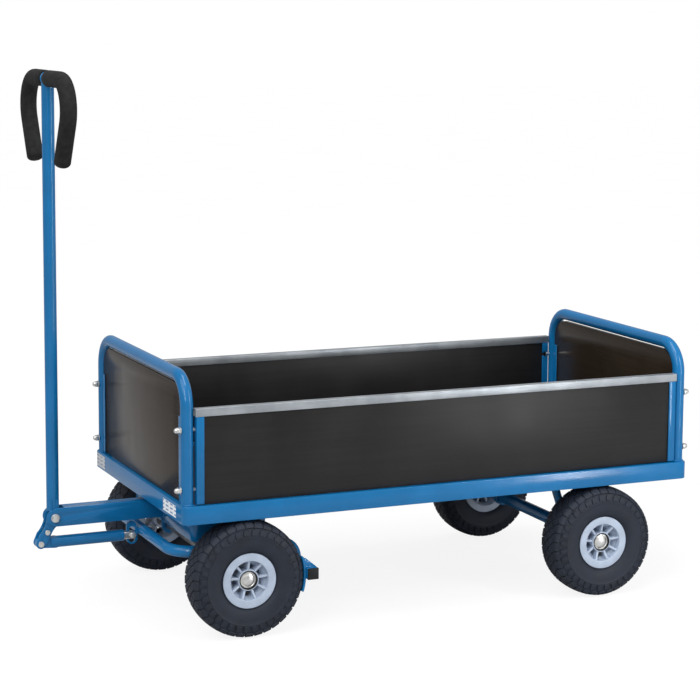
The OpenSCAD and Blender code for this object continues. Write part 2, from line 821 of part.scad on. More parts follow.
// Barrel with two flanges, hub and spokes
module wheel_rim() {
    spoke_t = 5;
    color("#a9b3c0") difference() {
        union() {
            turned([[open_r, -20], [open_r + 5, -33.2], [flange_r, -33.2], [flange_r, -flange_y],
                    [open_r, -flange_y], [open_r - 4, -20], [open_r - 4, 20], [open_r, flange_y],
                    [flange_r, flange_y], [flange_r, 33.2], [54, 33.2], [54, -32.6], [48, -30]]);
            rod_y(hub_in, hub_out, hub_r);
            for (i = [0 : spokes - 1]) rotate([0, i * 360 / spokes, 0]) translate([-spoke_t / 2, 0, 0])
                rotate([90, 0, 90]) linear_extrude(spoke_t) polygon([
                    [-14, hub_r - 2], [-14, open_r - 3], [20, open_r - 3], [33, open_r + 0.5],
                    [28, hub_r + 6], [22, hub_r + 2], [22, hub_r - 2]]);
        }
        rod_y(hub_in - 1, hub_out + 1, 15);
    }
}

// Two bushes pressed into the hub run on the axle rod
module bearings() {
    color(zinc) for (y0 = [hub_in, hub_out - 14]) difference() {
        rod_y(y0, y0 + 14, 15 - weld);
        rod_y(y0 - 1, y0 + 15, axle_r + run);
    }
}

module front_left_tyre() { at_wheel(front_x, 1) tyre(); }
module front_left_rim() { at_wheel(front_x, 1) wheel_rim(); }
module front_left_bearings() { at_wheel(front_x, 1) bearings(); }
module front_right_tyre() { at_wheel(front_x, -1) tyre(); }
module front_right_rim() { at_wheel(front_x, -1) wheel_rim(); }
module front_right_bearings() { at_wheel(front_x, -1) bearings(); }
module rear_left_tyre() { at_wheel(rear_x, 1) tyre(); }
module rear_left_rim() { at_wheel(rear_x, 1) wheel_rim(); }
module rear_left_bearings() { at_wheel(rear_x, 1) bearings(); }
module rear_right_tyre() { at_wheel(rear_x, -1) tyre(); }
module rear_right_rim() { at_wheel(rear_x, -1) wheel_rim(); }
module rear_right_bearings() { at_wheel(rear_x, -1) bearings(); }

rim_left();
rim_right();
rim_front();
rim_rear();
cross_members();
floor_panel();
front_hoop();
rear_hoop();
front_panel();
rear_panel();
panel_strips();
left_wall();
right_wall();
left_top_rail();
right_top_rail();
wall_end_channels();
wall_bolts();
wall_nuts();
rear_axle_tube();
rear_axle_rod();
rear_struts();
rear_hub_caps();
upper_slewing_ring();
upper_ring_bolts();
lower_slewing_ring();
slewing_balls();
lower_ring_bolts();
turntable_saddle();
front_axle_rod();
front_hub_caps();
draw_beam();
pivot_bolt();
bow_guides();
drawbar_tube();
lever_plates();
lever_bolts();
handle_bow();
left_grip();
right_grip();
link_tube();
link_clevis();
clevis_pin();
brake_bow();
cross_bar();
cross_bar_caps();
brake_shoes();
front_left_tyre();
front_left_rim();
front_left_bearings();
front_right_tyre();
front_right_rim();
front_right_bearings();
rear_left_tyre();
rear_left_rim();
rear_left_bearings();
rear_right_tyre();
rear_right_rim();
rear_right_bearings();
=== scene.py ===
import json
import math

import bmesh
import bpy
from mathutils import Matrix, Vector

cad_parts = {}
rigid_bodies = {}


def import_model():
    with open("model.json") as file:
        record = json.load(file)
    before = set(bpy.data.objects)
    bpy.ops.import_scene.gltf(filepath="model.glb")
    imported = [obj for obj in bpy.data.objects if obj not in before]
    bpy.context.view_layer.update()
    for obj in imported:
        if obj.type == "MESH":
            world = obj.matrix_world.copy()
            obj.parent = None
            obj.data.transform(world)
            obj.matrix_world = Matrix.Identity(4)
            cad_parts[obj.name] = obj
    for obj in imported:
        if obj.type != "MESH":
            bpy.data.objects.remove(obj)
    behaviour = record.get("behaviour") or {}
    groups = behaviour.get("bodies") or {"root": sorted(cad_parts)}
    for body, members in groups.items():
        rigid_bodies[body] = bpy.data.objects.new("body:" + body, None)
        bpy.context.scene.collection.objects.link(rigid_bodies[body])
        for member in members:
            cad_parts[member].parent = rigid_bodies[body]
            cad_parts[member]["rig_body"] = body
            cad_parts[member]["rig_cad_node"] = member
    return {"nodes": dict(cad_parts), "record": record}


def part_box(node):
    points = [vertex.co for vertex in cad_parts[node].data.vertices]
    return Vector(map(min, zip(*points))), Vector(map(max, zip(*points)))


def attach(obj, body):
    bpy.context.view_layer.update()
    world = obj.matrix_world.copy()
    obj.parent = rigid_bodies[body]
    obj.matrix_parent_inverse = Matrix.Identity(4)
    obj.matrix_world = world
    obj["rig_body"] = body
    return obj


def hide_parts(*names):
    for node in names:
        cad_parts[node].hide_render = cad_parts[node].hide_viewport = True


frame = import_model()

bl_info = {
    "name": "Hand cart finish",
    "version": (1, 0, 0),
    "blender": (4, 5, 0),
    "location": "View3D > Sidebar > Cart",
    "description": "Builds the finished pieces and materials of a boarded hand cart",
    "category": "Object",
}

MM = 0.001
MERGE = 0.01 * MM  # closer points are one
RIPPLE = 0.16  # depth of a weld bead's ripples, as a share of its thickness
WHEELS = [end + "_" + side for end in ("front", "rear") for side in ("left", "right")]
WAVE = 2 * math.pi / 20  # a wave texture's scale for one band a metre
SLOT_OF = {part["node"]: part["material_slot"] for part in frame["record"]["subparts"]}
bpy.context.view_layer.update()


def linear(code):
    """An sRGB hex colour as linear red, green and blue."""
    parts = [int(code[i:i + 2], 16) / 255 for i in (1, 3, 5)]
    return [c / 12.92 if c <= 0.04045 else ((c + 0.055) / 1.055) ** 2.4 for c in parts]


def middle(node):
    low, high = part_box(node)
    return (low + high) / 2


def size(node):
    low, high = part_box(node)
    return high - low


# ---------- settings ----------
class CartTyreSettings(bpy.types.PropertyGroup):
    lugs: bpy.props.IntProperty(
        name="Lugs", description="Shoulder lugs round one side of a tyre", default=36, min=30,
        max=48)
    groove: bpy.props.FloatProperty(
        name="Groove", description="Depth of the tread grooves", default=2.6 * MM, unit="LENGTH")
    diamond_l: bpy.props.FloatProperty(
        name="Diamond length", description="Tread block, measured across the tyre",
        default=24 * MM, unit="LENGTH")
    column: bpy.props.FloatProperty(
        name="Column", description="Distance between two columns of tread blocks",
        default=12.6 * MM, unit="LENGTH")
    lug_w: bpy.props.FloatProperty(
        name="Lug width", description="Shoulder lug, measured round the tyre",
        default=11.5 * MM, unit="LENGTH")
    rubber: bpy.props.FloatVectorProperty(
        name="Rubber", description="Colour of the tyre rubber", subtype="COLOR", size=3,
        default=linear("#1c222e"))


class CartWheelSettings(bpy.types.PropertyGroup):
    spokes: bpy.props.IntProperty(
        name="Spokes", description="Spokes of one wheel", default=9, min=5, max=12)
    spoke_t: bpy.props.FloatProperty(
        name="Spoke", description="Thickness of a spoke", default=5.2 * MM, unit="LENGTH")
    hub_r: bpy.props.FloatProperty(
        name="Hub", description="Radius of the hub that the spokes meet",
        default=24 * MM, unit="LENGTH")
    plastic: bpy.props.FloatVectorProperty(
        name="Plastic", description="Colour of the moulded wheels", subtype="COLOR", size=3,
        default=linear("#a6b3c6"))


class CartFrameSettings(bpy.types.PropertyGroup):
    edge: bpy.props.FloatProperty(
        name="Edge", description="Rounding of the steel's edges", default=1.2 * MM, unit="LENGTH")
    bead: bpy.props.FloatProperty(
        name="Weld bead", description="Radius of the weld beads", default=2.2 * MM, unit="LENGTH")
    paint: bpy.props.FloatVectorProperty(
        name="Paint", description="Colour of the powder coat", subtype="COLOR", size=3,
        default=linear("#10689f"))
    side_film: bpy.props.FloatVectorProperty(
        name="Side film", description="Colour of the resin film on the side boards",
        subtype="COLOR", size=3, default=linear("#1e1d1d"))
    # Set lighter than the side film: painted light where the front light falls on the end boards.
    end_film_painted_lit: bpy.props.FloatVectorProperty(
        name="End film with painted light", description="Colour of the resin film on the end boards",
        subtype="COLOR", size=3, default=linear("#2f271f"))


class CartStageSettings(bpy.types.PropertyGroup):
    lens: bpy.props.FloatProperty(
        name="Lens", description="Focal length on a 36 mm wide sensor, in millimetres",
        default=107.9)
    place: bpy.props.FloatVectorProperty(
        name="Camera", description="Where the camera stands", subtype="TRANSLATION", unit="LENGTH",
        size=3, default=(1.935, 4.481, 1.357))
    heading: bpy.props.FloatProperty(
        name="Heading", description="Which way the camera looks, anticlockwise from +X",
        subtype="ANGLE", unit="ROTATION", default=math.radians(-113.46))
    pitch: bpy.props.FloatProperty(
        name="Pitch", description="How far the camera looks up", subtype="ANGLE", unit="ROTATION",
        default=math.radians(-7.32))
    roll: bpy.props.FloatProperty(
        name="Roll", description="Turn of the camera about its view", subtype="ANGLE",
        unit="ROTATION", default=math.radians(0.35))
    rise: bpy.props.FloatProperty(
        name="Shift", description="Vertical shift of the lens, as a share of the frame",
        default=-0.1)


# ---------- selection and finishing ----------
def deselect():
    for o in bpy.context.selected_objects:
        o.select_set(False)


def activate(piece):
    deselect()
    piece.select_set(True)
    bpy.context.view_layer.objects.active = piece


def edit(piece, kind="FACE"):
    activate(piece)
    bpy.ops.object.mode_set(mode="EDIT")
    bpy.context.tool_settings.mesh_select_mode = (kind == "VERT", kind == "EDGE", kind == "FACE")


def pick(piece, kind, test):
    """Selects the faces, edges or vertices that test says yes to, in edit mode."""
    mesh = bmesh.from_edit_mesh(piece.data)
    for group in (mesh.verts, mesh.edges, mesh.faces):
        for part in group:
            part.select = False
    mesh.select_mode = {kind}
    for part in {"VERT": mesh.verts, "EDGE": mesh.edges, "FACE": mesh.faces}[kind]:
        if test(part):
            part.select_set(True)
    bmesh.update_edit_mesh(piece.data)


def done(piece, angle=35):
    """Leaves edit mode, puts the piece's place into its mesh and smooths it by angle."""
    bpy.ops.object.mode_set(mode="OBJECT")
    activate(piece)
    bpy.ops.object.transform_apply(location=True, rotation=True, scale=True)
    bpy.ops.object.shade_smooth_by_angle(angle=math.radians(angle))
    return piece


def apply(piece, kind, **values):
    """Adds a modifier with its settings and applies it."""
    activate(piece)
    made = piece.modifiers.new(kind.title(), kind)
    for name, value in values.items():
        setattr(made, name, value)
    bpy.ops.object.modifier_apply(modifier=made.name)
    return piece


def bevel(piece, width, segments=2, angle=40):
    apply(piece, "BEVEL", width=width, segments=segments, limit_method="ANGLE",
          angle_limit=math.radians(angle), harden_normals=False)
    return piece


def named(piece, name):
    piece.name = name
    piece.data.name = name
    return piece


def copied(piece, name, matrix):
    """A copy with its own mesh, moved by matrix."""
    made = piece.copy()
    made.data = piece.data.copy()
    bpy.context.scene.collection.objects.link(made)
    made.data.transform(matrix)
    return named(made, name)


def joined(pieces, name):
    deselect()
    for piece in pieces:
        piece.select_set(True)
    bpy.context.view_layer.objects.active = pieces[0]
    bpy.ops.object.join()
    return named(pieces[0], name)


def ringed(piece, count, turned=0.0):
    """Copies a piece round the Y axis, count times."""
    if turned:
        piece.data.transform(Matrix.Rotation(turned, 4, "Y"))
    step = bpy.data.objects.new("step", None)
    bpy.context.scene.collection.objects.link(step)
    step.rotation_euler.y = 2 * math.pi / count
    bpy.context.view_layer.update()
    apply(piece, "ARRAY", count=count, use_relative_offset=False, use_object_offset=True,
          offset_object=step)
    bpy.data.objects.remove(step)
    return piece


def give(piece, finish, body, *nodes, slot=None):
    """Sets a piece's finish, body and the nodes it stands for. The slot argument is not used."""
    piece.data.materials.clear()
    piece.data.materials.append(materials()[finish])
    if nodes:
        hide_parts(*nodes)
    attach(piece, body)


# ---------- modelling ----------
def traced(name, points):
    """A new mesh that is one line of edges through points, left in edit mode, all selected."""
    bpy.ops.mesh.primitive_plane_add(size=MM, location=(0, 0, 0))
    piece = named(bpy.context.object, name)
    edit(piece, "VERT")
    bpy.ops.mesh.select_all(action="SELECT")
    bpy.ops.mesh.merge(type="CENTER")
    bpy.ops.transform.translate(value=points[0])
    for here, there in zip(points, points[1:]):
        bpy.ops.mesh.extrude_vertices_move(TRANSFORM_OT_translate={"value": there - here})
    bpy.ops.mesh.select_all(action="SELECT")
    return piece


def lathe(name, outline, steps, closed=True):
    """Spins an outline of (radius, distance along Y) points, in mm, round the Y axis."""
    points = [Vector((0, y, r)) * MM for r, y in outline]
    piece = traced(name, points + (points[:1] if closed else []))
    bpy.ops.mesh.spin(steps=steps, angle=2 * math.pi, center=(0, 0, 0), axis=(0, 1, 0))
    bpy.ops.mesh.select_all(action="SELECT")
    bpy.ops.mesh.remove_doubles(threshold=MERGE)
    bpy.ops.mesh.normals_make_consistent(inside=False)
    return done(piece)


def arc(radius, y, r, start, end, count):
    """Points of an arc round (r, y), angles in degrees from the radial direction towards +Y."""
    turns = [math.radians(start + (end - start) * i / count) for i in range(count + 1)]
    return [(r + radius * math.cos(t), y + radius * math.sin(t)) for t in turns]


def profile(name, outline, width):
    """A bar along X with a closed outline of (distance along Y, height) points, in mm."""
    piece = traced(name, [Vector((-width / 2, y * MM, z * MM)) for y, z in outline])
    bpy.ops.mesh.edge_face_add()
    bpy.ops.mesh.extrude_region_move(TRANSFORM_OT_translate={"value": (width, 0, 0)})
    bpy.ops.mesh.select_all(action="SELECT")
    bpy.ops.mesh.normals_make_consistent(inside=False)
    return piece


def bead(name, radius, thick, matrix):
    """A weld bead: a ring of metal with the ripples that each drop leaves."""
    bpy.ops.mesh.primitive_torus_add(
        major_segments=72, minor_segments=8, major_radius=radius, minor_radius=thick,
        location=(0, 0, 0))
    piece = named(bpy.context.object, name)
    edit(piece, "VERT")
    pick(piece, "VERT", lambda v: round(math.degrees(math.atan2(v.co.y, v.co.x)) / 5) % 2 == 0)
    bpy.ops.transform.shrink_fatten(value=-RIPPLE * thick)
    bpy.ops.object.mode_set(mode="OBJECT")
    piece.data.transform(matrix)
    return done(piece, 60)


def seam(name, start, end, thick):
    """A straight weld bead between two points, rippled and with tapered ends."""
    start, end = Vector(start), Vector(end)
    run = end - start
    drops = max(6, round(run.length / (1.1 * thick)))
    bpy.ops.mesh.primitive_cylinder_add(
        vertices=8, radius=thick, depth=run.length, location=(0, 0, 0))
    piece = named(bpy.context.object, name)
    edit(piece, "EDGE")
    pick(piece, "EDGE", lambda e: abs(e.verts[0].co.z - e.verts[1].co.z) > run.length / 2)
    bpy.ops.mesh.subdivide(number_cuts=drops - 1)
    step = run.length / drops
    pick(piece, "VERT", lambda v: round((v.co.z + run.length / 2) / step) % 2 == 0)
    bpy.ops.transform.shrink_fatten(value=-RIPPLE * thick)
    bpy.ops.object.mode_set(mode="OBJECT")
    turn = run.to_track_quat("Z", "Y").to_matrix().to_4x4()
    piece.data.transform(Matrix.Translation((start + end) / 2) @ turn)
    return done(piece, 60)


def block(name, low, high, width, segments=2):
    """A cuboid between two corners with rounded edges."""
    low, high = Vector(low), Vector(high)
    bpy.ops.mesh.primitive_cube_add(size=1, location=(low + high) / 2)
    piece = named(bpy.context.object, name)
    piece.scale = high - low
    bpy.ops.object.transform_apply(location=True, rotation=True, scale=True)
    bevel(piece, width, segments)
    return done(piece)


def softened(node, width, angle=40, planes=()):
    """A copy of a frame node with merged facets and rounded edges, except where an edge lies in
    one of the planes at the given X."""
    source = frame["nodes"][node]
    piece = source.copy()
    piece.data = source.data.copy()
    piece.parent = None
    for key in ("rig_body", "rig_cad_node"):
        del piece[key]
    bpy.context.scene.collection.objects.link(piece)
    named(piece, node + "_finished")
    edit(piece, "VERT")
    bpy.ops.mesh.select_all(action="SELECT")
    bpy.ops.mesh.remove_doubles(threshold=MERGE)
    bpy.ops.mesh.dissolve_limited(angle_limit=math.radians(1))
    if planes:
        pick(piece, "EDGE", lambda e: len(e.link_faces) == 2
             and e.calc_face_angle() > math.radians(angle)
             and not any(all(abs(v.co.x - x) < 0.3 * MM for v in e.verts) for x in planes))
        bpy.ops.mesh.bevel(offset=width, segments=2, affect="EDGES")
    bpy.ops.object.mode_set(mode="OBJECT")
    if not planes:
        bevel(piece, width, 2, angle)
    return done(piece)


# ---------- materials ----------
def add(tree, kind, settings=None, **inputs):
    """Adds a node with its settings. An input is a value, a socket, or a node, whose first output
    is taken; i0 is the first input."""
    made = tree.nodes.new(kind)
    for name, value in (settings or {}).items():
        setattr(made, name, value)
    for name, value in inputs.items():
        key = int(name[1:]) if name[1:].isdigit() else name.replace("_", " ")
        if isinstance(value, bpy.types.Node):
            value = value.outputs[0]
        if isinstance(value, bpy.types.NodeSocket):
            tree.links.new(value, made.inputs[key])
        else:
            made.inputs[key].default_value = value
    return made


def started(name):
    """A new material with its shader, and the coordinates of the object, in metres."""
    material = bpy.data.materials.new(name)
    material.use_nodes = True
    tree = material.node_tree
    tree.nodes.clear()
    shader = add(tree, "ShaderNodeBsdfPrincipled")
    add(tree, "ShaderNodeOutputMaterial", Surface=shader)
    place = add(tree, "ShaderNodeTexCoord").outputs["Object"]
    return material, tree, shader, place


def dress(shader, tones, low, high, gloss=None, rough=None, relief=None, depth=None,
          fade=(0.35, 0.65), **fixed):
    """Colours a shader from low to high along the pattern tones, as that goes through fade. Its
    roughness follows the pattern gloss between the two values in rough, and its surface rises
    depth metres along the pattern relief. The fixed values go on its own sockets."""
    tree = shader.id_data
    share = add(tree, "ShaderNodeMapRange", Value=tones, From_Min=fade[0], From_Max=fade[1])
    tone = add(tree, "ShaderNodeMix", {"data_type": "RGBA"}, i0=share, i6=[*low, 1], i7=[*high, 1])
    tree.links.new(tone.outputs[2], shader.inputs["Base Color"])
    if gloss:
        worn = add(tree, "ShaderNodeMapRange", Value=gloss, From_Min=0.35, From_Max=0.65,
                   To_Min=rough[0], To_Max=rough[1])
        tree.links.new(worn.outputs[0], shader.inputs["Roughness"])
    if relief:
        bump = add(tree, "ShaderNodeBump", Height=relief, Distance=depth, Strength=1)
        tree.links.new(bump.outputs[0], shader.inputs["Normal"])
    for name, value in fixed.items():
        shader.inputs[name.replace("_", " ")].default_value = value


def shade(colour, factor):
    return [min(c * factor, 1) for c in colour]


def powder_coated_steel(colour):
    """Powder coat, sprayed and baked: satin gloss over a fine orange peel, a little deeper in
    thick patches."""
    material, tree, shader, place = started("powder_coated_steel")
    patch = add(tree, "ShaderNodeTexNoise", Vector=place, Scale=1 / (90 * MM), Detail=3)
    # The real peel is about 1.5 mm across; it is drawn at 5 mm so that it shows.
    peel = add(tree, "ShaderNodeTexNoise", Vector=place, Scale=1 / (5 * MM), Detail=2)
    dress(shader, patch, shade(colour, 0.93), shade(colour, 1.07), peel, (0.15, 0.22),
          peel, 0.05 * MM, IOR=1.5, Specular_IOR_Level=0.36)
    return material


def zinc_plated_steel():
    """Bright zinc on fixings: a cool metal with cloudy passivation."""
    material, tree, shader, place = started("zinc_plated_steel")
    cloud = add(tree, "ShaderNodeTexNoise", Vector=place, Scale=1 / (9 * MM), Detail=3)
    grit = add(tree, "ShaderNodeTexNoise", Vector=place, Scale=1 / (2 * MM), Detail=2)
    dress(shader, cloud, linear("#d4d5d4"), linear("#e8e8e5"), cloud, (0.3, 0.4),
          grit, 0.03 * MM, Metallic=1)
    return material


def turned_steel():
    """Drawn and turned axle steel: grey metal with fine rings along the rod."""
    material, tree, shader, place = started("turned_steel")
    round_y = add(tree, "ShaderNodeMapping", Vector=place, Scale=(1 / 30, 1, 1 / 30))
    rings = add(tree, "ShaderNodeTexNoise", Vector=round_y, Scale=1 / (1.5 * MM), Detail=2)
    dress(shader, rings, linear("#7f8285"), linear("#a4a7aa"), rings, (0.3, 0.42), Metallic=1)
    return material


def slewing_ring_steel():
    """Pressed and phosphated ring steel: dull dark grey with a film of grease."""
    material, tree, shader, place = started("slewing_ring_steel")
    film = add(tree, "ShaderNodeTexNoise", Vector=place, Scale=1 / (25 * MM), Detail=4)
    dress(shader, film, linear("#55585b"), linear("#7b7e80"), film, (0.28, 0.5), Metallic=0.9)
    return material


def satin_anodised_aluminium():
    """Anodised aluminium, drawn lengthwise: matt silver with faint lines along the rail."""
    material, tree, shader, place = started("satin_anodised_aluminium")
    # Real die lines are near 0.2 mm apart; they are drawn at 1.5 mm so that they show.
    along = add(tree, "ShaderNodeMapping", Vector=place, Scale=(1 / 120, 1, 1))
    lines = add(tree, "ShaderNodeTexNoise", Vector=along, Scale=1 / (1.5 * MM), Detail=2)
    haze = add(tree, "ShaderNodeTexNoise", Vector=place, Scale=1 / (60 * MM), Detail=3)
    dress(shader, haze, linear("#969ca2"), linear("#aeb4b9"), lines, (0.38, 0.5),
          lines, 0.05 * MM, Metallic=0.75)
    return material


def film_faced_plywood(name, colour, grain_scale, gloss, sheen):
    """Birch plywood under phenolic resin film: near black, with the veneer's grain faintly
    telegraphing through as long low streaks and cloudy patches in the resin."""
    material, tree, shader, place = started(name)
    along = add(tree, "ShaderNodeMapping", Vector=place, Scale=grain_scale)
    streak = add(tree, "ShaderNodeTexNoise", Vector=along, Scale=1 / (9 * MM), Detail=5,
                 Roughness=0.6)
    upright = add(tree, "ShaderNodeMapping", Vector=place, Scale=(1, 1, 1 / 2))
    cloud = add(tree, "ShaderNodeTexNoise", Vector=upright, Scale=1 / (110 * MM), Detail=4)
    both = add(tree, "ShaderNodeMath", {"operation": "MULTIPLY"}, i0=streak, i1=cloud)
    dress(shader, both, shade(colour, 0.82), shade(colour, 1.16), cloud, (gloss, gloss + 0.1),
          streak, 0.08 * MM, fade=(0.15, 0.35), Specular_IOR_Level=sheen)
    return material


def mesh_pressed_film(colour):
    """The floor's non-slip side: a wire screen pressed into the hot resin film leaves a fine
    square lattice."""
    material, tree, shader, place = started("mesh_pressed_film")
    # The screen's wires are 2.5 mm apart; they are drawn 5 mm apart so that they show.
    pitch = 5 * MM
    across, along = [
        add(tree, "ShaderNodeTexWave", {"bands_direction": axis}, Vector=place,
            Scale=WAVE / pitch, Distortion=0.6).outputs[1] for axis in ("X", "Y")]
    lattice = add(tree, "ShaderNodeMath", {"operation": "MAXIMUM"}, i0=across, i1=along)
    worn = add(tree, "ShaderNodeTexNoise", Vector=place, Scale=1 / (70 * MM), Detail=5)
    dress(shader, worn, shade(colour, 0.8), shade(colour, 1.7), worn, (0.5, 0.68),
          lattice, 0.4 * MM)
    return material


def tyre_rubber(colour):
    """Carbon-black rubber, moulded: matt blue-grey black with a bloom on the walls."""
    material, tree, shader, place = started("tyre_rubber")
    bloom = add(tree, "ShaderNodeTexNoise", Vector=place, Scale=1 / (30 * MM), Detail=4)
    grit = add(tree, "ShaderNodeTexNoise", Vector=place, Scale=1 / (1.6 * MM), Detail=3)
    dress(shader, bloom, shade(colour, 0.8), shade(colour, 1.25), bloom, (0.55, 0.7),
          grit, 0.12 * MM, Specular_IOR_Level=0.35)
    return material


def moulded_polyamide(colour):
    """Glass-filled polyamide, injection moulded: pale grey, satin, with faint flow clouds."""
    material, tree, shader, place = started("moulded_polyamide")
    flow = add(tree, "ShaderNodeTexNoise", Vector=place, Scale=1 / (22 * MM), Detail=4)
    fibre = add(tree, "ShaderNodeTexNoise", Vector=place, Scale=1 / (1.8 * MM), Detail=2)
    dress(shader, flow, shade(colour, 0.93), shade(colour, 1.06), fibre, (0.38, 0.5),
          fibre, 0.05 * MM)
    return material


def black_polyethylene():
    """Polyethylene caps and seals: soft black plastic with a waxy sheen."""
    material, tree, shader, place = started("black_polyethylene")
    grain = add(tree, "ShaderNodeTexNoise", Vector=place, Scale=1 / (2.5 * MM), Detail=3)
    dress(shader, grain, linear("#101113"), linear("#191b1e"), grain, (0.42, 0.55),
          grain, 0.06 * MM, Specular_IOR_Level=0.3)
    return material


def skinned_foam():
    """Nitrile foam sleeve with a moulded skin: dull black, closely pitted by its cells."""
    material, tree, shader, place = started("skinned_foam")
    # Cells are about 0.5 mm across; they are drawn at 2.2 mm so that they show.
    cells = add(tree, "ShaderNodeTexVoronoi", Vector=place, Scale=1 / (2.2 * MM))
    dust = add(tree, "ShaderNodeTexNoise", Vector=place, Scale=1 / (12 * MM), Detail=4)
    dress(shader, dust, linear("#131314"), linear("#202021"), relief=cells.outputs["Distance"],
          depth=0.25 * MM, Roughness=0.85, Specular_IOR_Level=0.3)
    return material


def printed_vinyl(name, ground, mark):
    """A vinyl label: smooth and plain, with a few broken bars instead of any words."""
    material, tree, shader, place = started(name)
    # Bars are 9 mm apart and broken every 29 mm.
    masks = []
    for axis, pitch, cover in (("Z", 9 * MM, 0.72), ("Y", 29 * MM, 0.3)):
        wave = add(tree, "ShaderNodeTexWave", {"bands_direction": axis}, Vector=place,
                   Scale=WAVE / pitch)
        masks.append(add(tree, "ShaderNodeMapRange", Value=wave.outputs[1], From_Min=cover,
                         From_Max=cover + 0.05))
    bars = add(tree, "ShaderNodeMath", {"operation": "MULTIPLY"}, i0=masks[0], i1=masks[1])
    smear = add(tree, "ShaderNodeTexNoise", Vector=place, Scale=1 / (3 * MM), Detail=2)
    dress(shader, bars, ground, mark, smear, (0.25, 0.35), fade=(0, 1))
    return material


def materials():
    """Every finish by name, made once."""
    if not hasattr(materials, "made"):
        scene = bpy.context.scene
        settings = scene.cart_frame
        materials.made = {
            "blue_frame": powder_coated_steel(settings.paint),
            "zinc_fixings": zinc_plated_steel(),
            "rail_aluminium": satin_anodised_aluminium(),
            "axle_steel": turned_steel(),
            "ring_steel": slewing_ring_steel(),
            "side_board": film_faced_plywood("film_faced_plywood_side", settings.side_film,
                                             (1 / 26, 1, 1), 0.36, 0.28),
            # The end boards take the lighter end film colour, which is painted light from the
            # front.
            "end_board": film_faced_plywood("film_faced_plywood_end_painted_lit", settings.end_film_painted_lit,
                                            (1, 1 / 26, 1), 0.16, 0.18),
            "floor_board": mesh_pressed_film(settings.side_film),
            "foam_grip": skinned_foam(),
            "black_cap": black_polyethylene(),
            "tyre_rubber": tyre_rubber(scene.cart_tyre.rubber),
            "wheel_plastic": moulded_polyamide(scene.cart_wheel.plastic),
            "sticker": printed_vinyl("printed_vinyl", linear("#f2f4f6"), linear("#4f78a8")),
            "type_plate": printed_vinyl("etched_type_plate", linear("#b9bfc6"),
                                        linear("#75808b")),
        }
    return materials.made


def body_of(node):
    return frame["nodes"][node]["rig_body"]


def outboard(wheel):
    """Takes a piece made round the origin, with +Y outboard, to a wheel's place."""
    turn = 0 if wheel.endswith("left") else math.pi
    return Matrix.Translation(middle(wheel + "_tyre")) @ Matrix.Rotation(turn, 4, "Z")


def on_wheels(piece, name, finish, replaced=None):
    """Copies a piece to the four wheels, where it stands for the wheel's node of that name."""
    for wheel in WHEELS:
        made = copied(piece, f"{wheel}_{name}", outboard(wheel))
        nodes = [f"{wheel}_{replaced}"] if replaced else []
        give(made, finish, wheel + "_wheel", *nodes)
    bpy.data.objects.remove(piece)


# ---------- tyres ----------
def crown(y):
    """Height of the tread's outline at y, with its slope, in millimetres from the axle."""
    radius, r = 210, 129
    return r - radius + math.sqrt(radius ** 2 - y ** 2), math.asin(y / radius)


